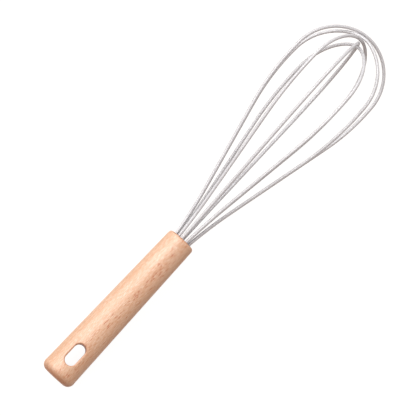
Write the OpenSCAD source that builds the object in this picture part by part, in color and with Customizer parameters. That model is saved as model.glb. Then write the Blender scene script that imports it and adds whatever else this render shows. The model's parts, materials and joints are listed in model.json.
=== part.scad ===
// Balloon whisk: five silicone-coated wire loops potted in a turned beech handle.
// The whisk lies as it rests on a table, on two neighbouring wires and the butt's lower edge.

/* [Handle] */
// Length of the wooden handle
handle_length = 125; // [100:1:150]
// Diameter at the butt, where the handle is thickest
butt_diameter = 25; // [22:0.5:32]
// Diameter at the front, where the wires come out
front_diameter = 20.5; // [19:0.5:26]
// Rounding of the butt's edge
butt_round = 5; // [2:0.5:8]
// Rounding of the front edge
front_round = 2; // [0.5:0.25:2.5]

/* [Hang slot] */
// Length of the slot from end to end
slot_length = 17; // [12:0.5:24]
// Width of the slot
slot_width = 8.2; // [6:0.2:11]
// Distance from the butt face to the slot's centre
slot_setback = 20; // [17:0.5:30]
// Width of the eased edge at the slot's ends
slot_ease = 0.9; // [0.3:0.1:1.5]

/* [Bore and filling] */
// Diameter of the blind bore that takes the wires
bore_diameter = 14.6; // [14.4:0.1:16]
// Depth of the bore at its full diameter
bore_depth = 44; // [42:1:55]
// Depth of the drill's point beyond the bore
drill_point = 4; // [1:0.5:6]
// How far the wire guide sits inside the mouth
guide_recess = 1.5; // [0.5:0.25:2.5]
// Thickness of the wire guide
guide_thickness = 6; // [3:0.5:8]

/* [Wires] */
// Diameter of the bare spring wire
core_diameter = 1.5; // [1:0.1:1.7]
// Outer diameter of the silicone coating
coating_diameter = 2.3; // [2:0.05:2.4]
// Depth at which the silicone coating ends inside the handle
coating_depth = 24; // [18:1:30]
// Depth at which the bare wire ends inside the handle
core_depth = 38; // [34:1:40]
// Radius of the ring of wire centres at the handle's mouth
ring_radius = 5.85; // [5.6:0.05:5.95]

/* [Whisk cage] */
// Reach of the outermost loop beyond the handle's front
reach = 186.5; // [160:0.5:220]
// Width of the widest loop, measured over its coating
cage_width = 71; // [60:0.5:80]
// Radius of the bend that leads each wire out of the handle
neck_radius = 100; // [70:5:130]
// Radius of the gentle flare outside the handle
flare_radius = 325; // [250:5:380]
// Mean radius of the loops' rounded tips
tip_radius = 25; // [21:0.5:27]

/* [Clearances] */
// Gap between two loops where they cross at the tip
crossing_gap = 0.2; // [0.15:0.05:0.6]
// Gap left for the bond between two pieces that fit together
bond_gap = 0.03; // [0.02:0.01:0.06]

/* [Hidden] */

// The loops are bent by hand, so each one differs a little from an even spacing of 36 degrees.
// Directions of the five loop planes round the handle's axis, in degrees
loop_azimuths = [16, -18, 56, -52.5, 86];
// Tilt of each loop plane away from the handle's axis, in degrees
loop_tilts = [-1.1, 0.45, -0.3, 1.2, -0.8];
// Depth of each loop below the outermost one at the tip, in steps of one wire and one gap;
// a little over whole steps, since the leaning loops cross beside the axis
nesting_steps = [0, 1.15, 2.15, 4.25, 3.1];
// Half width of each loop, as a share of the widest one
width_shares = [1, 0.94, 0.95, 0.92, 0.98];
// Sideways shift of each loop's belly within its plane, as a share of the cage's half width
belly_lean_shares = [0.03, -0.025, -0.01, 0.015, 0];
// Sideways shift of each loop's tip within its plane, as a share of the cage's half width
tip_lean_shares = [0.07, -0.03, -0.055, 0.055, 0];
// Radius of each loop's rounded tip, as a share of the mean one
tip_radius_shares = [1.3, 0.8, 1.14, 0.94, 1];
// Steepness of the straight runs, as a share of the mean slope from ring to belly
run_slope_share = 1.61;
// Slope at the mouth, as a share of the slope of the straight runs
exit_slope_share = 0.52;
// Angles at which the belly hands over to the shoulder, and the shoulder to the tip, in degrees
belly_drop = 2.75;
tip_turn = 71;
// Depth in the handle about which a loop plane tilts, as a share of the coating's depth there
tilt_depth_share = 0.8;

// Overrun of every cut beyond the surface it opens
cut = 1;
// Each wire is a chain of rods and bends that stop short of each other by this gap
joint_gap = 0.1;
// A ball at each joint of a chain stands this much proud of the wire and closes the gap
joint_rise = 0.02;
// Steps of a rounded edge in a turned profile, and facets of a drawn circle
edge_steps = 16;
wire_facets = 24;
$fn = 96;

wire_radius = coating_diameter / 2;
half_width = cage_width / 2 - wire_radius;
run_slope = atan(run_slope_share * (half_width - ring_radius) / reach);
exit_slope = exit_slope_share * run_slope;
neck_depth = neck_radius * sin(exit_slope);
tail_radius = ring_radius - neck_radius * (1 - cos(exit_slope));
loop_step = coating_diameter + crossing_gap;
tilt_depth = tilt_depth_share * coating_depth;

// Half width of one side of a loop: side 1 lies in the loop's own direction, side -1 opposite
function side_width(i, side) = half_width * (width_shares[i] + side * belly_lean_shares[i]);
function tip_shift(i, side) = side * half_width * tip_lean_shares[i];
function tip_bend(i) = tip_radius * tip_radius_shares[i];
// Height of a loop's apex above the handle's front; a leaning loop is lower on the axis,
// where the nesting is counted
function axis_drop(i) = pow(tip_shift(i, 1), 2) / (2 * tip_bend(i));
function apex_height(i) =
  reach - wire_radius - axis_drop(0) - nesting_steps[i] * loop_step + axis_drop(i);

// The straight run and the belly radius of one side follow from its width and height:
// two equations, linear in both, with the shoulder radius tied to the belly radius
handover = cos(belly_drop) - cos(tip_turn);
shoulder_rise = sin(tip_turn) - sin(belly_drop);
function shoulder_base(i, side) =
  (side_width(i, side) - tip_shift(i, side) - tip_bend(i) * cos(tip_turn)) / handover;
shoulder_factor = -(1 - cos(belly_drop)) / handover;
flare_rise = flare_radius * (sin(run_slope) - sin(exit_slope));
flare_spread = flare_radius * (cos(exit_slope) - cos(run_slope));
belly_rise = sin(run_slope) + sin(belly_drop) + shoulder_factor * shoulder_rise;
function spread_left(i, side) = side_width(i, side) - ring_radius - flare_spread;
function rise_left(i, side) =
  apex_height(i) - flare_rise - shoulder_base(i, side) * shoulder_rise - tip_bend(i) * (1 - sin(tip_turn));
solve_base = sin(run_slope) * belly_rise - cos(run_slope) * (1 - cos(run_slope));
function run_length(i, side) =
  (spread_left(i, side) * belly_rise - (1 - cos(run_slope)) * rise_left(i, side)) / solve_base;
function belly_radius(i, side) =
  (sin(run_slope) * rise_left(i, side) - cos(run_slope) * spread_left(i, side)) / solve_base;
function shoulder_radius(i, side) = shoulder_base(i, side) + shoulder_factor * belly_radius(i, side);
// Height of the widest point of one side above the handle's front
function belly_height(i, side) =
  flare_rise + run_length(i, side) * cos(run_slope) + belly_radius(i, side) * sin(run_slope);

// A chain is a list of [length or radius, turn]: a turn of zero is a straight rod,
// a positive turn bends outwards and a negative one inwards
function side_chain(i, side) = [
  [flare_radius, run_slope - exit_slope],
  [run_length(i, side), 0],
  [belly_radius(i, side), -run_slope - belly_drop],
  [shoulder_radius(i, side), belly_drop - tip_turn]
];
function reversed(list) = [for (k = [len(list) - 1:-1:0]) list[k]];
function tail_chain(depth) = [[depth - neck_depth, 0], [neck_radius, exit_slope]];
function loop_chain(i, depth) = concat(
  tail_chain(depth),
  side_chain(i, 1),
  [[tip_bend(i), 2 * tip_turn - 180]],
  reversed(side_chain(i, -1)),
  reversed(tail_chain(depth))
);

// The rest pose: the whisk rolls until two neighbouring wires touch the table together,
// and pitches until the butt's rounded edge touches too. Each wire is [loop, side].
wires = [for (i = [0:4]) for (side = [1, -1]) [i, side]];
rest_wires = [[2, 1], [4, 1]];
rest_rounds = 12;
butt_edge = [-handle_length + butt_round, butt_diameter / 2 - butt_round];
function azimuth(w) = loop_azimuths[w[0]] + (w[1] > 0 ? 0 : 180);
// Place of a point of a wire, from its spread in the loop's plane and its height there
function placed(w, spread, height) =
  let (
    turn = loop_azimuths[w[0]],
    tilt = loop_tilts[w[0]],
    along = w[1] * spread,
    aside = -(height + tilt_depth) * sin(tilt)
  )
  [
    along * cos(turn) - aside * sin(turn),
    along * sin(turn) + aside * cos(turn),
    (height + tilt_depth) * cos(tilt) - tilt_depth
  ];
// Slope of a wire where it is lowest, at a given pitch and roll
function low_slope(w, pitch, roll) = atan(tan(pitch) / cos(azimuth(w) - roll));
function low_point(w, slope) =
  let (bend = belly_radius(w[0], w[1]))
  placed(w, side_width(w[0], w[1]) - bend * (1 - cos(slope)), belly_height(w[0], w[1]) - bend * sin(slope));
// How far a point lies from the handle's axis, towards the table
function drop_of(point, roll) = point.x * cos(roll) + point.y * sin(roll);
function next_pitch(a, roll) =
  let (run = a.z - butt_edge[0], drop = drop_of(a, roll) - butt_edge[1])
  atan2(drop, run) + asin((wire_radius - butt_round) / norm([run, drop]));
function next_roll(a, b, pitch) =
  atan2(a.y - b.y, a.x - b.x) + acos((a.z - b.z) * tan(pitch) / norm([a.x - b.x, a.y - b.y]));
function settle(pitch, roll, rounds) =
  rounds < 1 ? [pitch, roll] :
  let (
    a = low_point(rest_wires[0], low_slope(rest_wires[0], pitch, roll)),
    b = low_point(rest_wires[1], low_slope(rest_wires[1], pitch, roll)),
    new_roll = next_roll(a, b, pitch)
  )
  settle(next_pitch(a, new_roll), new_roll, rounds - 1);
first_roll = (azimuth(rest_wires[0]) + azimuth(rest_wires[1])) / 2;
settled = settle(0, first_roll, rest_rounds);
rest_pitch = settled[0];
rest_roll = settled[1];

// Box of the resting whisk, before it is moved to the origin
box_front = max([
  for (i = [0:4])
    let (
      down = cos(loop_azimuths[i] - rest_roll) * sin(rest_pitch),
      centre = placed([i, 1], tip_shift(i, 1), apex_height(i) - tip_bend(i))
    )
    centre.z * cos(rest_pitch) + drop_of(centre, rest_roll) * sin(rest_pitch)
    + tip_bend(i) * norm([cos(rest_pitch), down]) + wire_radius
]);
box_back = butt_edge[0] * cos(rest_pitch) - butt_edge[1] * sin(rest_pitch) - butt_round;
box_sides = [
  for (w = wires)
    drop_of(placed(w, side_width(w[0], w[1]), belly_height(w[0], w[1])), rest_roll + 90)
];
box_floor = butt_edge[0] * sin(rest_pitch) - butt_edge[1] * cos(rest_pitch) - butt_round;
rest_place = [-(box_front + box_back) / 2, -(max(box_sides) + min(box_sides)) / 2, -box_floor];

// Places a piece that is drawn upright, with the handle's axis on Z and its front at zero
module at_rest() {
  translate(rest_place)
    rotate([0, 90 - rest_pitch, 0])
      rotate([0, 0, -rest_roll])
        children();
}

// A bend in the XZ plane that starts at the origin heading up and turns by an angle,
// shortened at both ends
module bend(radius, turn, d, trim) {
  way = sign(turn);
  angle = abs(turn);
  skip = trim / radius * 180 / PI;
  translate([way * radius, 0, 0])
    rotate([90, 0, 0])
      rotate([0, 0, way > 0 ? 180 - angle + skip : skip])
        rotate_extrude(angle = angle - 2 * skip, $fn = $fn + 2 * floor(radius / d))
          translate([radius, 0])
            circle(d = d, $fn = wire_facets);
}

// Draws a chain of rods and bends, each in the frame where the last one ended
module chain(links, d, k = 0) {
  link = links[k];
  size = link[0];
  turn = link[1];
  way = sign(turn);
  trim = joint_gap / 2;
  if (k > 0) sphere(d = d + 2 * joint_rise, $fn = wire_facets);
  if (turn == 0) {
    low = k > 0 ? trim : 0;
    high = k < len(links) - 1 ? trim : 0;
    translate([0, 0, low]) cylinder(h = size - low - high, d = d, $fn = wire_facets);
  } else {
    bend(size, turn, d, trim);
  }
  if (k < len(links) - 1)
    translate([way * size * (1 - cos(turn)), 0, turn == 0 ? size : size * abs(sin(turn))])
      rotate([0, turn, 0])
        chain(links, d, k + 1);
}

// Turns a wire that is drawn in the XZ plane, on its positive side, into the plane of its loop
module in_loop_plane(w) {
  rotate([0, 0, loop_azimuths[w[0]]])
    translate([0, 0, -tilt_depth])
      rotate([loop_tilts[w[0]], 0, 0])
        rotate([0, 0, w[1] > 0 ? 0 : 180])
          translate([0, 0, tilt_depth])
            children();
}

// One whole loop, from tail to tail, as a solid wire of diameter d
module loop_wire(i, depth, d) {
  in_loop_plane([i, 1])
    translate([tail_radius, 0, -depth])
      chain(loop_chain(i, depth), d);
}

// The part of every wire that lies inside the handle, down to a depth
module tails(depth, d) {
  for (w = wires)
    in_loop_plane(w)
      translate([tail_radius, 0, -depth])
        chain(tail_chain(depth), d);
}

// The outline of a turned bar with both edges rounded, from the axis outwards
function edge_arc(centre, radius, from, to) = [
  for (k = [0:edge_steps])
    let (t = from + (to - from) * k / edge_steps)
    centre + radius * [cos(t), sin(t)]
];
taper = atan2((butt_diameter - front_diameter) / 2, handle_length);
handle_outline = concat(
  [[0, -handle_length]],
  edge_arc([butt_diameter / 2 - butt_round, -handle_length + butt_round], butt_round, -90, taper),
  edge_arc([front_diameter / 2 - front_round, -front_round], front_round, taper, 90),
  [[0, 0]]
);

// The slot's stadium, widened by an amount at its far end, from the axis to a height
module slot_body(from, height, spread) {
  pitch = (slot_length - slot_width) / 2;
  for (side = [-1, 1])
    translate([0, side * pitch, from])
      cylinder(h = height, d1 = slot_width, d2 = slot_width + 2 * spread);
  rotate([90, 0, 0])
    translate([0, from, -pitch])
      linear_extrude(2 * pitch)
        polygon([
          [-slot_width / 2, 0],
          [slot_width / 2, 0],
          [slot_width / 2 + spread, height],
          [-slot_width / 2 - spread, height]
        ]);
}

module handle() {
  slot_radius = butt_diameter / 2 - slot_setback * tan(taper);
  color([0.87, 0.69, 0.52])
    at_rest()
      difference() {
        rotate_extrude()
          polygon(handle_outline);
        translate([0, 0, -bore_depth])
          cylinder(h = bore_depth + cut, d = bore_diameter);
        translate([0, 0, -bore_depth - drill_point])
          cylinder(h = drill_point, d1 = 0, d2 = bore_diameter);
        translate([0, 0, slot_setback - handle_length])
          rotate([90, 0, 0])
            slot_body(-slot_radius - cut, 2 * (slot_radius + cut), 0);
        for (face = [0, 180])
          translate([0, 0, slot_setback - handle_length])
            rotate([90, 0, 0])
              rotate([0, face, 0])
                slot_body(slot_radius - slot_ease, slot_ease + cut, slot_ease + cut);
      }
}

module wire_guide() {
  color([0.93, 0.93, 0.9])
    at_rest()
      difference() {
        translate([0, 0, -guide_recess - guide_thickness])
          cylinder(h = guide_thickness, d = bore_diameter - 2 * bond_gap);
        tails(coating_depth, coating_diameter + 2 * bond_gap);
      }
}

module potting() {
  top = guide_recess + guide_thickness + bond_gap;
  d = bore_diameter - 2 * bond_gap;
  color([0.82, 0.66, 0.36])
    at_rest()
      difference() {
        union() {
          translate([0, 0, -bore_depth])
            cylinder(h = bore_depth - top, d = d);
          translate([0, 0, -bore_depth - drill_point + bond_gap])
            cylinder(h = drill_point - bond_gap, d1 = 0, d2 = d);
        }
        tails(coating_depth + bond_gap, coating_diameter + 2 * bond_gap);
        tails(core_depth + bond_gap, core_diameter + 2 * bond_gap);
      }
}

module core(i) {
  color([0.72, 0.72, 0.74])
    at_rest()
      loop_wire(i, core_depth, core_diameter);
}

module coating(i) {
  color([0.9, 0.88, 0.87])
    at_rest()
      difference() {
        loop_wire(i, coating_depth, coating_diameter);
        loop_wire(i, coating_depth + cut, core_diameter + 2 * bond_gap);
      }
}

handle();
wire_guide();
potting();
core(0);  // core_1
core(1);  // core_2
core(2);  // core_3
core(3);  // core_4
core(4);  // core_5
coating(0);  // coating_1
coating(1);  // coating_2
coating(2);  // coating_3
coating(3);  // coating_4
coating(4);  // coating_5
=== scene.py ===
"""A balloon whisk: silicone-coated wire loops in a turned beech handle.

Lengths are in metres, and in a material's pattern in millimetres. The whisk has its own frame:
the handle's axis is Z, its front is at z = 0, the tip is up, and Y points away from the
photograph's camera.
"""

import json
import math

import bmesh
import bpy
from mathutils import Matrix, Vector


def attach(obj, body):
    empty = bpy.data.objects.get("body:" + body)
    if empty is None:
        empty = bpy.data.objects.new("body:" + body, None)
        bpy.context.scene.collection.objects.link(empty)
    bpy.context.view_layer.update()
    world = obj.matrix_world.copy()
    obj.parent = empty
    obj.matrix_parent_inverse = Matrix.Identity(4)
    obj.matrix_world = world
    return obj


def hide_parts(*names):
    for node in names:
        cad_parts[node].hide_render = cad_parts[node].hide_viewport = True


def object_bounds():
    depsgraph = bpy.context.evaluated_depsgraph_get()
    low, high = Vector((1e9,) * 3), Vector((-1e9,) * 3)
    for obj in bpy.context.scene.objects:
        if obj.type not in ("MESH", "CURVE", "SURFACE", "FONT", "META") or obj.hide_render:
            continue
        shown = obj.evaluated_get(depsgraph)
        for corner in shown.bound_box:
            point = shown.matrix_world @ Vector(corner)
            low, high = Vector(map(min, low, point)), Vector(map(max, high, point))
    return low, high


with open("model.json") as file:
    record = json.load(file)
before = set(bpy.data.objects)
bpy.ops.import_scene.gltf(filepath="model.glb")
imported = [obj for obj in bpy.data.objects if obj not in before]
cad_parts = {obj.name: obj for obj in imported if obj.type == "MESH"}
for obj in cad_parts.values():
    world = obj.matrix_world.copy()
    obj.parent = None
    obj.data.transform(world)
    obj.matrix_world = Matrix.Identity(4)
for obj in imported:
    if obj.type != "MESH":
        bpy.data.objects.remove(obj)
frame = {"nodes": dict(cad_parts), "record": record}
cad_low, cad_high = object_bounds()

MM = 0.001

# Sizes of the handle
HANDLE_LENGTH = 125 * MM
BUTT_RADIUS = 12.5 * MM
FRONT_RADIUS = 10.25 * MM
BUTT_ROUND = 5 * MM
FRONT_ROUND = 2 * MM
BORE_RADIUS = 7.3 * MM
BORE_DEPTH = 44 * MM
BORE_CHAMFER = 0.4 * MM
DRILL_POINT = 4 * MM

# Sizes of the hang slot
SLOT_LENGTH = 17 * MM
SLOT_WIDTH = 8.2 * MM
SLOT_SETBACK = 20 * MM
SLOT_EASE = 0.9 * MM

# Sizes of the wires and their cage
COATING_RADIUS = 1.15 * MM
CORE_RADIUS = 0.75 * MM
BOND_GAP = 0.03 * MM
CROSSING_GAP = 0.2 * MM
COATING_DEPTH = 24 * MM
RING_RADIUS = 5.85 * MM
REACH = 186.5 * MM
CAGE_WIDTH = 71 * MM
NECK_RADIUS = 100 * MM
FLARE_RADIUS = 325 * MM
TIP_RADIUS = 25 * MM

# How each loop was bent by hand, with azimuths and tilts in degrees
LOOP_AZIMUTHS = (16, -18, 56, -52.5, 86)
LOOP_TILTS = (-1.1, 0.45, -0.3, 1.2, -0.8)
NESTING_STEPS = (0, 1.15, 2.15, 4.25, 3.1)
WIDTH_SHARES = (1, 0.94, 0.95, 0.92, 0.98)
BELLY_LEAN_SHARES = (0.03, -0.025, -0.01, 0.015, 0)
TIP_LEAN_SHARES = (0.07, -0.03, -0.055, 0.055, 0)
TIP_RADIUS_SHARES = (1.3, 0.8, 1.14, 0.94, 1)
RUN_SLOPE_SHARE = 1.61
EXIT_SLOPE_SHARE = 0.52
TILT_DEPTH_SHARE = 0.8
BELLY_DROP = math.radians(2.75)
TIP_TURN = math.radians(71)

# The photograph's camera: the frame's side in pixels, where the handle's mouth is in the frame, how
# far that mark lies behind the front, a pixel's size there, the angle of the whisk's axis above the
# horizontal, and how far the camera leans to the butt
PHOTO_SIDE = 416
MOUTH_PX = Vector((180.74, 241.27))
MOUTH_PX_INSET = 1.33 * MM
PIXEL = 0.667 * MM
AXIS_ANGLE = math.radians(47.15)
CAMERA_TILT = math.radians(4.96)
CAMERA_DISTANCE = 2.8
CLIP_END = 100

# The whisk's frame, from the record's mounts
mounts = {m["name"]: m for m in frame["record"]["mounts"]}
ALONG = -Vector(mounts["butt_face"]["axis"]).normalized()
slot_axis = Vector(mounts["hang_slot"]["axis"])
AWAY = -(slot_axis - ALONG * slot_axis.dot(ALONG)).normalized()
ACROSS = AWAY.cross(ALONG)
FRONT = Vector(mounts["butt_face"]["pos_m"]) + ALONG * HANDLE_LENGTH
WHISK = Matrix.Translation(FRONT) @ Matrix((ACROSS, AWAY, ALONG)).transposed().to_4x4()


def srgb(red, green, blue):
    """A colour written as it looks on a screen, from 0 to 255, as a linear one."""
    shares = [c / 255 for c in (red, green, blue)]
    return (*(s / 12.92 if s <= 0.04045 else ((s + 0.055) / 1.055) ** 2.4 for s in shares), 1)


# The camera
def image_axes():
    """Directions of the photograph's right, its up and its camera, in the row's frame."""
    up_the_axis = ALONG * math.cos(CAMERA_TILT) - AWAY * math.sin(CAMERA_TILT)
    to_camera = -AWAY * math.cos(CAMERA_TILT) - ALONG * math.sin(CAMERA_TILT)
    right = up_the_axis * math.cos(AXIS_ANGLE) + ACROSS * math.sin(AXIS_ANGLE)
    up = up_the_axis * math.sin(AXIS_ANGLE) - ACROSS * math.cos(AXIS_ANGLE)
    return right, up, to_camera


def add_camera():
    right, up, to_camera = image_axes()
    middle = Vector((PHOTO_SIDE / 2, PHOTO_SIDE / 2)) - MOUTH_PX
    aim = FRONT - ALONG * MOUTH_PX_INSET + (right * middle.x - up * middle.y) * PIXEL
    data = bpy.data.cameras.new("camera")
    data.lens = data.sensor_width * CAMERA_DISTANCE / (PIXEL * PHOTO_SIDE)
    data.clip_end = CLIP_END
    camera = bpy.data.objects.new("camera", data)
    turn = Matrix((right, up, to_camera)).transposed().to_4x4()
    camera.matrix_world = Matrix.Translation(aim + to_camera * CAMERA_DISTANCE) @ turn
    bpy.context.collection.objects.link(camera)
    bpy.context.scene.camera = camera


# Small helpers for materials and the world
class Nodes:
    """Short calls that add nodes to a material's or the world's tree."""

    def __init__(self, tree):
        self.tree = tree

    def put(self, socket, value):
        """Links a socket to another one, or sets it."""
        if isinstance(value, bpy.types.NodeSocket):
            self.tree.links.new(value, socket)
        else:
            socket.default_value = value

    def node(self, kind, inputs=None, **settings):
        """A node with some of its inputs set or linked. Returns the node."""
        node = self.tree.nodes.new("ShaderNode" + kind)
        for name, value in settings.items():
            setattr(node, name, value)
        for key, value in (inputs or {}).items():
            self.put(node.inputs[key], value)
        return node

    def math(self, operation, a, b=0.0, c=0.0):
        return self.node("Math", {0: a, 1: b, 2: c}, operation=operation).outputs[0]

    def times(self, a, b):
        return self.math("MULTIPLY", a, b)

    def vector(self, operation, a, b=(0, 0, 0)):
        return self.node("VectorMath", {0: a, 1: b}, operation=operation).outputs["Vector"]

    def dot(self, a, b):
        return self.node("VectorMath", {0: a, 1: b}, operation="DOT_PRODUCT").outputs["Value"]

    def noise(self, place, per_mm, detail=2.0, roughness=0.5):
        """Noise from 0 to 1 with so many features in a millimetre along each axis."""
        stretched = self.vector("MULTIPLY", place, per_mm)
        inputs = {"Vector": stretched, "Scale": 1.0, "Detail": detail, "Roughness": roughness}
        return self.node("TexNoise", inputs).outputs["Fac"]

    def remap(self, value, low, high, to_low=0.0, to_high=1.0):
        """Value, eased from low and high to another pair of ends."""
        inputs = {
            "Value": value,
            "From Min": low,
            "From Max": high,
            "To Min": to_low,
            "To Max": to_high,
        }
        node = self.node("MapRange", inputs, interpolation_type="SMOOTHSTEP")
        return node.outputs["Result"]

    def mix(self, share, a, b):
        """Colour a with a share of colour b laid over it."""
        node = self.node("Mix", data_type="RGBA")
        for key, value in ((0, share), (6, a), (7, b)):
            self.put(node.inputs[key], value)
        return node.outputs[2]

    def seen(self):
        """1 for what the camera, a reflection or a refraction sees, and 0 for what lights the
        object."""
        path = self.node("LightPath").outputs
        mirrored = self.math("MAXIMUM", path["Is Camera Ray"], path["Is Glossy Ray"])
        return self.math("MAXIMUM", mirrored, path["Is Transmission Ray"])


class Shader(Nodes):
    """A material with a Principled shader."""

    def __init__(self, name):
        self.material = bpy.data.materials.new(name)
        self.material.use_nodes = True
        super().__init__(self.material.node_tree)
        self.base = self.tree.nodes["Principled BSDF"]

    def place(self):
        """A point's place in the whisk's frame, in millimetres."""
        inputs = {
            "Vector": self.node("TexCoord").outputs["Object"],
            "Location": WHISK.to_translation(),
            "Rotation": WHISK.to_euler(),
            "Scale": (MM, MM, MM),
        }
        return self.node("Mapping", inputs, vector_type="TEXTURE").outputs["Vector"]

    def bump(self, height, strength, depth):
        inputs = {"Height": height, "Strength": strength, "Distance": depth}
        return self.node("Bump", inputs).outputs["Normal"]

    def set(self, **values):
        """Sets or links the Principled shader's sockets, named with underscores for spaces, and
        returns the material."""
        for name, value in values.items():
            self.put(self.base.inputs[name.replace("_", " ")], value)
        return self.material


# Materials
# The beech's growth, in millimetres: where the tree's middle was across the handle's axis, how
# wide a ring is, and how far the rings wander
PITH = (-13, 36, 0)
RING_WIDTH = 2.6
RING_WANDER = 9.0


def beech():
    """Satin beech: faint rings, fine fibre, darker end grain, and short reddish flecks, which lie
    in strings along the two sides where the handle's skin follows the rings, with painted shade
    along the rounded edges."""
    s = Shader("beech")
    place = s.place()

    # Growth rings
    split = s.node("SeparateXYZ", {0: place}).outputs
    from_axis = s.node("CombineXYZ", {0: split[0], 1: split[1]}).outputs[0]
    from_pith = s.vector("SUBTRACT", from_axis, PITH)
    distance = s.node("VectorMath", {0: from_pith}, operation="LENGTH").outputs["Value"]
    warp = s.noise(place, (0.05, 0.05, 0.012), detail=3)
    warped = s.math("MULTIPLY_ADD", warp, RING_WANDER, distance)
    ring = s.math("FRACT", s.math("DIVIDE", warped, RING_WIDTH))
    late_wood = s.times(s.remap(ring, 0.35, 0.93), s.remap(ring, 1.0, 0.93))

    # The ground colour
    tone = s.noise(place, (0.1, 0.1, 0.03), detail=3)
    fibre = s.noise(place, (5.0, 5.0, 0.16), detail=5, roughness=0.65)
    mottle = s.noise(place, (1.8, 1.8, 0.35), detail=5, roughness=0.7)
    colour = s.mix(s.remap(tone, 0.3, 0.7), srgb(236, 195, 164), srgb(230, 184, 149))
    colour = s.mix(s.times(late_wood, 0.16), colour, srgb(206, 138, 96))
    colour = s.mix(s.remap(fibre, 0.35, 0.75, 0, 0.5), colour, srgb(210, 142, 98))
    colour = s.mix(s.remap(mottle, 0.5, 0.68, 0, 0.85), colour, srgb(214, 146, 104))
    colour = s.mix(s.remap(mottle, 0.48, 0.32, 0, 0.75), colour, srgb(248, 220, 198))

    # Flecks
    cells = s.vector("MULTIPLY", place, (1.2, 1.2, 0.26))
    shake = s.node("TexNoise", {"Vector": place, "Scale": 1.6}).outputs["Color"]
    shaken = s.vector("ADD", cells, shake)
    fleck = s.node("TexVoronoi", {"Vector": shaken, "Scale": 1.0}, distance="MANHATTAN").outputs
    chosen = s.node("SeparateColor", {0: fleck["Color"]}).outputs[0]
    growth = s.dot(s.vector("NORMALIZE", from_axis), s.vector("NORMALIZE", from_pith))
    flat_grain = s.remap(s.math("ABSOLUTE", growth), 0.92, 0.99, 0.2, 1.0)
    crowd = s.noise(place, (0.8, 0.8, 0.02), detail=2)
    string = s.times(flat_grain, s.remap(crowd, 0.46, 0.54))
    shown = s.remap(s.times(chosen, string), 0.15, 0.35)
    dash = s.times(s.remap(fleck["Distance"], 0.8, 0.3), shown)
    colour = s.mix(s.times(dash, 0.7), colour, srgb(190, 84, 36))

    # End grain
    facing = s.dot(s.node("TexCoord").outputs["Normal"], ALONG)
    end_grain = s.math("MAXIMUM", s.remap(facing, -0.4, -0.97), s.remap(facing, 0.5, 0.97))
    speckle = s.noise(place, (3.2, 3.2, 3.2), detail=3, roughness=0.6)
    end_colour = s.mix(s.remap(speckle, 0.35, 0.7), srgb(210, 138, 90), srgb(172, 98, 54))
    end_colour = s.mix(s.times(late_wood, 0.5), end_colour, srgb(146, 78, 40))
    colour = s.mix(s.times(end_grain, 0.75), colour, end_colour)

    # Painted shade, darkest halfway round each rounded edge, the slot's eased edge and the bore's
    # chamfer, and relief
    edge_shade = s.node("Attribute", attribute_name="edge_shade").outputs["Fac"]
    colour = s.mix(s.times(edge_shade, 0.25), colour, srgb(176, 108, 70))
    relief = s.math("ADD", s.times(fibre, 0.6), s.times(dash, -0.5))
    return s.set(
        Base_Color=colour,
        Roughness=s.remap(mottle, 0.3, 0.7, 0.52, 0.62),
        Normal=s.bump(relief, 0.25, 0.06 * MM),
        Specular_IOR_Level=0.5,
        Coat_Weight=0.2,
        Coat_Roughness=0.5,
    )


def silicone():
    """Pale grey silicone with a satin skin and a very fine moulded texture."""
    s = Shader("silicone")
    place = s.place()
    cloud = s.noise(place, (0.08, 0.08, 0.08), detail=3)
    dust = s.noise(place, (2.5, 2.5, 2.5), detail=4, roughness=0.6)
    colour = s.mix(s.remap(cloud, 0.3, 0.7), srgb(211, 209, 211), srgb(202, 199, 201))
    colour = s.mix(s.remap(dust, 0.55, 0.85, 0, 0.2), colour, srgb(191, 186, 188))
    normal = s.bump(dust, 0.06, 0.01 * MM)
    rough = s.remap(dust, 0.3, 0.8, 0.42, 0.5)
    return s.set(Base_Color=colour, Roughness=rough, Normal=normal, Specular_IOR_Level=0.6)


def spring_steel():
    """Drawn spring wire, with faint lines along it."""
    s = Shader("spring_steel")
    place = s.place()
    drawn = s.noise(place, (6.0, 6.0, 0.3), detail=4, roughness=0.6)
    colour = s.mix(s.remap(drawn, 0.3, 0.7), srgb(190, 190, 192), srgb(160, 160, 163))
    normal = s.bump(drawn, 0.2, 0.01 * MM)
    rough = s.remap(drawn, 0.3, 0.7, 0.22, 0.38)
    return s.set(Base_Color=colour, Roughness=rough, Normal=normal, Metallic=1.0)


def guide_plastic():
    """Warm white moulded plastic with a fine spark-eroded texture."""
    s = Shader("guide_plastic")
    place = s.place()
    grain = s.noise(place, (4.0, 4.0, 4.0), detail=3, roughness=0.55)
    cloud = s.noise(place, (0.2, 0.2, 0.2), detail=2)
    colour = s.mix(s.remap(cloud, 0.3, 0.7), srgb(222, 218, 208), srgb(210, 205, 194))
    normal = s.bump(grain, 0.3, 0.03 * MM)
    rough = s.remap(grain, 0.3, 0.7, 0.5, 0.62)
    return s.set(Base_Color=colour, Roughness=rough, Normal=normal)


def resin():
    """Amber casting resin, slightly clouded, with a few bubbles at its surface."""
    s = Shader("resin")
    place = s.place()
    cloud = s.noise(place, (0.25, 0.25, 0.25), detail=4)
    bubbles = s.node("TexVoronoi", {"Vector": place, "Scale": 0.8}).outputs["Distance"]
    pit = s.remap(bubbles, 0.16, 0.08)
    colour = s.mix(s.remap(cloud, 0.3, 0.7), srgb(196, 154, 92), srgb(168, 122, 62))
    colour = s.mix(s.times(pit, 0.4), colour, srgb(226, 196, 140))
    normal = s.bump(pit, 0.4, 0.05 * MM)
    rough = s.remap(cloud, 0.3, 0.7, 0.14, 0.26)
    return s.set(Base_Color=colour, Roughness=rough, Normal=normal, Coat_Weight=0.4)


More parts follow.
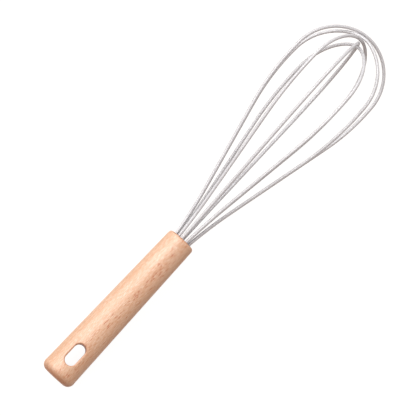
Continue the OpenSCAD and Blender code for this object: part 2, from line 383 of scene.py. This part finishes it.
# Small helpers for meshes
def new_piece(name, mesh, material, slot, *nodes):
    """An object from a mesh in the whisk's frame. It replaces CAD nodes and rides with the part."""
    mesh.transform(WHISK)
    mesh.materials.append(material)
    mesh.shade_smooth()
    piece = bpy.data.objects.new(name, mesh)
    bpy.context.collection.objects.link(piece)
    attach(piece, "root")
    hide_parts(*nodes)
    return piece


def to_mesh(bm, name):
    bmesh.ops.recalc_face_normals(bm, faces=bm.faces)
    mesh = bpy.data.meshes.new(name)
    bm.to_mesh(mesh)
    bm.free()
    return mesh


def bridge(bm, ring_a, ring_b):
    """Quads between two closed rings of as many vertices."""
    count = len(ring_a)
    for k in range(count):
        j = (k + 1) % count
        bm.faces.new((ring_a[k], ring_a[j], ring_b[j], ring_b[k]))


# The loops' silicone
RING_STEP = 1.4 * MM
TUBE_SIDES = 28


def loop_values(i):
    """The links of one loop from tail to tail, as (length or radius, turn), and its first point."""
    half = CAGE_WIDTH / 2 - COATING_RADIUS
    run_slope = math.atan(RUN_SLOPE_SHARE * (half - RING_RADIUS) / REACH)
    exit_slope = EXIT_SLOPE_SHARE * run_slope
    neck_depth = NECK_RADIUS * math.sin(exit_slope)
    tail_radius = RING_RADIUS - NECK_RADIUS * (1 - math.cos(exit_slope))
    leans = [half * share for share in TIP_LEAN_SHARES]
    bends = [TIP_RADIUS * share for share in TIP_RADIUS_SHARES]
    axis_drops = [lean**2 / (2 * bend) for lean, bend in zip(leans, bends)]
    nesting = NESTING_STEPS[i] * (2 * COATING_RADIUS + CROSSING_GAP)
    apex = REACH - COATING_RADIUS - axis_drops[0] - nesting + axis_drops[i]

    handover = math.cos(BELLY_DROP) - math.cos(TIP_TURN)
    shoulder_rise = math.sin(TIP_TURN) - math.sin(BELLY_DROP)
    factor = -(1 - math.cos(BELLY_DROP)) / handover
    flare_rise = FLARE_RADIUS * (math.sin(run_slope) - math.sin(exit_slope))
    flare_spread = FLARE_RADIUS * (math.cos(exit_slope) - math.cos(run_slope))
    belly_rise = math.sin(run_slope) + math.sin(BELLY_DROP) + factor * shoulder_rise
    curl = 1 - math.cos(run_slope)
    base = math.sin(run_slope) * belly_rise - math.cos(run_slope) * curl

    def side(way):
        """Flare, straight run, belly and shoulder of one side, solved for its width and height."""
        width = half * (WIDTH_SHARES[i] + way * BELLY_LEAN_SHARES[i])
        shoulder_base = (width - way * leans[i] - bends[i] * math.cos(TIP_TURN)) / handover
        spread = width - RING_RADIUS - flare_spread
        tip_rise = bends[i] * (1 - math.sin(TIP_TURN))
        rise = apex - flare_rise - shoulder_base * shoulder_rise - tip_rise
        run = (spread * belly_rise - curl * rise) / base
        belly = (math.sin(run_slope) * rise - math.cos(run_slope) * spread) / base
        return [
            (FLARE_RADIUS, run_slope - exit_slope),
            (run, 0),
            (belly, -run_slope - BELLY_DROP),
            (shoulder_base + factor * belly, BELLY_DROP - TIP_TURN),
        ]

    tail = [(COATING_DEPTH - neck_depth, 0), (NECK_RADIUS, exit_slope)]
    tip = [(bends[i], 2 * TIP_TURN - math.pi)]
    links = tail + side(1) + tip + side(-1)[::-1] + tail[::-1]
    return links, (tail_radius, -COATING_DEPTH)


def follow(links, start):
    """Points along a chain of links in the XZ plane, as (x, z, heading from Z towards X)."""
    x, z = start
    heading = 0
    points = [(x, z, heading)]
    for size, turn in links:
        length = size * abs(turn) if turn else size
        steps = max(2, math.ceil(length / RING_STEP))
        reach = math.copysign(size, turn)
        centre_x = x + reach * math.cos(heading)
        centre_z = z - reach * math.sin(heading)
        for k in range(1, steps + 1):
            angle = heading + turn * k / steps
            if turn:
                x = centre_x - reach * math.cos(angle)
                z = centre_z + reach * math.sin(angle)
            else:
                x += size / steps * math.sin(heading)
                z += size / steps * math.cos(heading)
            points.append((x, z, angle))
        heading += turn
    return points


def coating(i, material):
    """One loop's silicone: a hollow tube with a ring at its ends, tilted into the loop's plane."""
    bm = bmesh.new()
    rings = {COATING_RADIUS: [], CORE_RADIUS + BOND_GAP: []}
    for x, z, heading in follow(*loop_values(i)):
        outward = Vector((math.cos(heading), 0, -math.sin(heading)))
        for radius, made in rings.items():
            ring = []
            for k in range(TUBE_SIDES):
                angle = 2 * math.pi * k / TUBE_SIDES
                spoke = outward * math.cos(angle) + Vector((0, math.sin(angle), 0))
                ring.append(bm.verts.new(Vector((x, 0, z)) + spoke * radius))
            made.append(ring)
    skin, lining = rings.values()
    for made in (skin, lining):
        for before, after in zip(made, made[1:]):
            bridge(bm, before, after)
    for end in (0, -1):
        bridge(bm, skin[end], lining[end])
    pivot = Matrix.Translation((0, 0, TILT_DEPTH_SHARE * COATING_DEPTH))
    tilt = Matrix.Rotation(math.radians(LOOP_TILTS[i]), 4, "X")
    turn = Matrix.Rotation(math.radians(LOOP_AZIMUTHS[i]), 4, "Z")
    bmesh.ops.transform(bm, matrix=turn @ pivot.inverted() @ tilt @ pivot, verts=bm.verts)
    name = f"silicone_loop_{i + 1}"
    return new_piece(name, to_mesh(bm, name), material, "silicone", f"coating_{i + 1}")


# The handle's wood
HANDLE_COLUMNS = 144
PATCH_COLUMNS = 16
PATCH_ROWS = 32
PATCH_RINGS = 10
EDGE_STEPS = 10
EASE_STEPS = 6
WALL_STEPS = 14
PATCH_HALF = 13 * MM
PATCH_GROWTH = 1.3
ROW_STEP = 2 * MM
FLAT_RINGS = 4
# How strongly painted shade darkens the front's rounded edge and the bore's chamfer; the butt's
# edge gets it in full
FRONT_EDGE_SHADE_SHARE = 0.3
MOUTH_EDGE_SHADE = 0.5

slot_centre = SLOT_SETBACK - HANDLE_LENGTH
taper = math.atan2(BUTT_RADIUS - FRONT_RADIUS, HANDLE_LENGTH)


def turned_radius(z):
    """Radius of the handle's straight taper at a height."""
    return FRONT_RADIUS - z * math.tan(taper)


def arc(radius, z, size, low, high):
    """A rounded edge from angle low to high, as (radius, z, weight of painted shade). Angle 0
    points away from the axis."""
    made = []
    for k in range(EDGE_STEPS + 1):
        share = k / EDGE_STEPS
        angle = low + (high - low) * share
        point = (radius + size * math.cos(angle), z + size * math.sin(angle))
        made.append((*point, math.sin(math.pi * share)))
    return made


def steps_between(low, high, step):
    """Evenly spaced values between two ends, without the ends."""
    count = math.ceil((high - low) / step)
    return [low + (high - low) * k / count for k in range(1, count)]


def handle_outline():
    """The turned outline from the butt's centre round to the bore's point, as (radius, z, weight of
    painted shade), and the rows between which the slot's patches lie."""
    flat_radius = BUTT_RADIUS - BUTT_ROUND
    quarter = math.pi / 2
    butt = arc(flat_radius, BUTT_ROUND - HANDLE_LENGTH, BUTT_ROUND, -quarter, taper)
    front = arc(FRONT_RADIUS - FRONT_ROUND, -FRONT_ROUND, FRONT_ROUND, taper, quarter)
    front = [(radius, z, edge_shade_weight * FRONT_EDGE_SHADE_SHARE) for radius, z, edge_shade_weight in front]
    low, high = slot_centre - PATCH_HALF, slot_centre + PATCH_HALF
    patch = [low + 2 * PATCH_HALF * k / PATCH_ROWS for k in range(PATCH_ROWS + 1)]
    before = steps_between(butt[-1][1], low, ROW_STEP)
    after = steps_between(high, front[0][1], ROW_STEP)
    side = [(turned_radius(z), z, 0) for z in before + patch + after]
    flat = [(flat_radius * k / FLAT_RINGS, -HANDLE_LENGTH, 0) for k in range(1, FLAT_RINGS)]
    heights = steps_between(-BORE_DEPTH, -BORE_CHAMFER, ROW_STEP)
    mouth = [
        (BORE_RADIUS + BORE_CHAMFER, 0, MOUTH_EDGE_SHADE),
        (BORE_RADIUS, -BORE_CHAMFER, MOUTH_EDGE_SHADE),
        *((BORE_RADIUS, z, 0) for z in reversed(heights)),
        (BORE_RADIUS, -BORE_DEPTH, 0),
        (BORE_RADIUS / 2, -BORE_DEPTH - DRILL_POINT / 2, 0),
    ]
    outline = flat + butt + side + front + mouth
    first = len(flat) + len(butt) + len(before)
    return outline, first, first + PATCH_ROWS


def stadium(share):
    """Point on the slot's outline in the XZ plane and its outward normal, a share of the way
    round from its end on the tip side, towards X first."""
    cap = SLOT_WIDTH / 2
    pitch = (SLOT_LENGTH - SLOT_WIDTH) / 2
    quarter = math.pi / 2 * cap
    way = 1 if share < 0.5 else -1
    travel = (share if share < 0.5 else share - 0.5) * 2 * (2 * quarter + 2 * pitch)
    if travel < quarter:
        angle = math.pi / 2 - travel / cap
        centre, normal = pitch, Vector((math.cos(angle), math.sin(angle)))
    elif travel < quarter + 2 * pitch:
        centre, normal = pitch - (travel - quarter), Vector((1, 0))
    else:
        angle = -(travel - quarter - 2 * pitch) / cap
        centre, normal = -pitch, Vector((math.cos(angle), math.sin(angle)))
    point = Vector((0, centre)) + normal * cap
    return way * point, way * normal


def ease_ring(bm, edge_shade, way, shares, step):
    """One ring of the slot's eased edge, from its wall at step 0 to the handle's skin.
    Way is -1 on the side that faces the camera and 1 on the other."""
    ring = []
    for share in shares:
        point, normal = stadium(share)
        centre = point + normal * SLOT_EASE
        inner = turned_radius(slot_centre + centre.y) - SLOT_EASE
        depth = math.sqrt(inner**2 - centre.x**2)
        middle = Vector((centre.x, way * depth, slot_centre + centre.y))
        skin = Vector((centre.x, way * depth, 0)).normalized()
        wall = Vector((-normal.x, 0, -normal.y))
        turn = wall.angle(skin)
        angle = turn * step / EASE_STEPS
        square = (skin - wall * math.cos(turn)) / math.sin(turn)
        spoke = wall * math.cos(angle) + square * math.sin(angle)
        vert = bm.verts.new(middle + spoke * SLOT_EASE)
        # Painted shade, darkest halfway round the eased edge
        vert[edge_shade] = math.sin(math.pi * step / EASE_STEPS)
        ring.append(vert)
    return ring


def patch_column(column):
    """How many columns a column lies past the first one of a patch. Each end of the slot has a
    patch, and the two lie half a turn apart."""
    return (column + PATCH_COLUMNS) % (HANDLE_COLUMNS // 2)


def patch_border(grid, low, high, way):
    """The vertices round a patch's hole, from the middle of its tip side towards X."""
    middle = 0 if way < 0 else HANDLE_COLUMNS // 2
    columns = [(middle + c) % HANDLE_COLUMNS for c in range(-PATCH_COLUMNS, PATCH_COLUMNS + 1)]
    top = [grid[high][c] for c in columns]
    right = [grid[r][columns[-1]] for r in range(high - 1, low, -1)]
    base = [grid[low][c] for c in reversed(columns)]
    left = [grid[r][columns[0]] for r in range(low + 1, high)]
    border = top[PATCH_COLUMNS:] + right + base + left + top[:PATCH_COLUMNS]
    return border if way < 0 else [border[0]] + border[:0:-1]


def add_patch(bm, edge_shade, grid, low, high, way, shares):
    """The skin between the turned grid and the slot's edge on one side. Returns the wall's ring."""
    border = patch_border(grid, low, high, way)
    rings = [ease_ring(bm, edge_shade, way, shares, step) for step in range(EASE_STEPS + 1)]
    rim = rings[-1]
    for k in range(1, PATCH_RINGS):
        share = (k / PATCH_RINGS) ** PATCH_GROWTH
        ring = []
        for inner, outer in zip(rim, border):
            z = inner.co.z + (outer.co.z - inner.co.z) * share
            lean = math.atan2(inner.co.x, way * inner.co.y)
            far = math.atan2(outer.co.x, way * outer.co.y)
            angle = lean + (far - lean) * share
            radius = turned_radius(z)
            ring.append(bm.verts.new((radius * math.sin(angle), way * radius * math.cos(angle), z)))
        rings.append(ring)
    rings.append(border)
    for before, after in zip(rings, rings[1:]):
        bridge(bm, before, after)
    return rings[0]


def handle(material):
    """The turned handle with its bore and its hang slot, as one closed skin."""
    bm = bmesh.new()
    # A vertex layer that weighs the painted shade along the rounded edges
    edge_shade = bm.verts.layers.float.new("edge_shade")
    outline, low, high = handle_outline()
    grid = []
    for row, (radius, z, edge_shade_weight) in enumerate(outline):
        ring = []
        for column in range(HANDLE_COLUMNS):
            if low < row < high and 0 < patch_column(column) < 2 * PATCH_COLUMNS:
                ring.append(None)
                continue
            angle = 2 * math.pi * column / HANDLE_COLUMNS
            vert = bm.verts.new((radius * math.sin(angle), -radius * math.cos(angle), z))
            vert[edge_shade] = edge_shade_weight
            ring.append(vert)
        grid.append(ring)
    for row, (before, after) in enumerate(zip(grid, grid[1:])):
        for k in range(HANDLE_COLUMNS):
            if low <= row < high and patch_column(k) < 2 * PATCH_COLUMNS:
                continue
            j = (k + 1) % HANDLE_COLUMNS
            bm.faces.new((before[k], before[j], after[j], after[k]))
    for ring, z in ((grid[0], -HANDLE_LENGTH), (grid[-1], -BORE_DEPTH - DRILL_POINT)):
        tip = bm.verts.new((0, 0, z))
        for k, vert in enumerate(ring):
            bm.faces.new((vert, ring[(k + 1) % HANDLE_COLUMNS], tip))

    border_size = 4 * PATCH_COLUMNS + 2 * PATCH_ROWS
    shares = [k / border_size for k in range(border_size)]
    near, far = (add_patch(bm, edge_shade, grid, low, high, way, shares) for way in (-1, 1))
    walls = [near]
    for step in range(1, WALL_STEPS):
        share = step / WALL_STEPS
        walls.append([bm.verts.new(a.co.lerp(b.co, share)) for a, b in zip(near, far)])
    walls.append(far)
    for before, after in zip(walls, walls[1:]):
        bridge(bm, before, after)
    return new_piece("beech_handle", to_mesh(bm, "beech_handle"), material, "beech", "handle")


# The floor, the world and the lights
WHITE = (1, 1, 1, 1)
FLOOR_SIZE = 12
FLOOR_GLOW = 0.95
FLOOR_COLOUR = srgb(108, 96, 88)
FILL_LOW = (0.26, 0.12, 0.05, 1)
FILL_HIGH = (0.97, 0.97, 0.97, 1)
FILL_EDGES = (-0.85, -0.03)
SOFTBOX_DISTANCE = 1.4


def add_floor():
    """A pale floor that looks white and keeps a faint shadow."""
    bm = bmesh.new()
    bmesh.ops.create_grid(bm, x_segments=1, y_segments=1, size=FLOOR_SIZE / 2)
    floor = bpy.data.objects.new("floor", to_mesh(bm, "floor"))
    bpy.context.collection.objects.link(floor)
    s = Shader("floor")
    material = s.set(
        Base_Color=FLOOR_COLOUR,
        Roughness=0.9,
        Specular_IOR_Level=0,
        Emission_Color=WHITE,
        Emission_Strength=s.times(s.seen(), FLOOR_GLOW),
    )
    floor.data.materials.append(material)


def add_world():
    """A white background to look at, and a soft fill for the object, which is dimmer and warmer
    from the side of the photograph's lower edge."""
    world = bpy.data.worlds.new("world")
    bpy.context.scene.world = world
    world.use_nodes = True
    n = Nodes(world.node_tree)
    height = n.dot(n.node("TexCoord").outputs["Generated"], image_axes()[1])
    fill = n.mix(n.remap(height, *FILL_EDGES), FILL_LOW, FILL_HIGH)
    background = n.tree.nodes["Background"].inputs["Color"]
    n.put(background, n.mix(n.seen(), fill, WHITE))


def add_softbox(name, left, forward, size, power, only_shine=False):
    """A square softbox that shines on the whisk's middle. Left is its angle from the camera to
    the photograph's upper left, across the whisk, and forward its angle towards the tip. One that
    only shines shows in reflections and adds no diffuse light."""
    to_camera = image_axes()[2]
    side = to_camera * math.cos(left) - ACROSS * math.sin(left)
    direction = (side * math.cos(forward) + ALONG * math.sin(forward)).normalized()
    middle = (cad_low + cad_high) / 2
    data = bpy.data.lights.new(name, "AREA")
    data.size = size
    data.energy = power
    light = bpy.data.objects.new(name, data)
    light.visible_diffuse = not only_shine
    light.location = middle + direction * SOFTBOX_DISTANCE
    light.rotation_mode = "QUATERNION"
    light.rotation_quaternion = direction.to_track_quat("Z", "Y")
    bpy.context.collection.objects.link(light)


bpy.context.scene.view_settings.view_transform = "Standard"
add_camera()
add_world()
add_floor()
add_softbox("key", left=math.radians(42), forward=math.radians(20), size=1, power=8)
add_softbox(
    "sheen", left=math.radians(40), forward=math.radians(12), size=1.2, power=42, only_shine=True
)

wood = beech()
rubber = silicone()
handle(wood)
for loop_index in range(len(LOOP_AZIMUTHS)):
    coating(loop_index, rubber)

kept = {"wire_guide": guide_plastic(), "potting": resin()}
steel = spring_steel()
for loop_index in range(len(LOOP_AZIMUTHS)):
    kept[f"core_{loop_index + 1}"] = steel
for node_name, node_material in kept.items():
    for slot in frame["nodes"][node_name].material_slots:
        slot.material = node_material
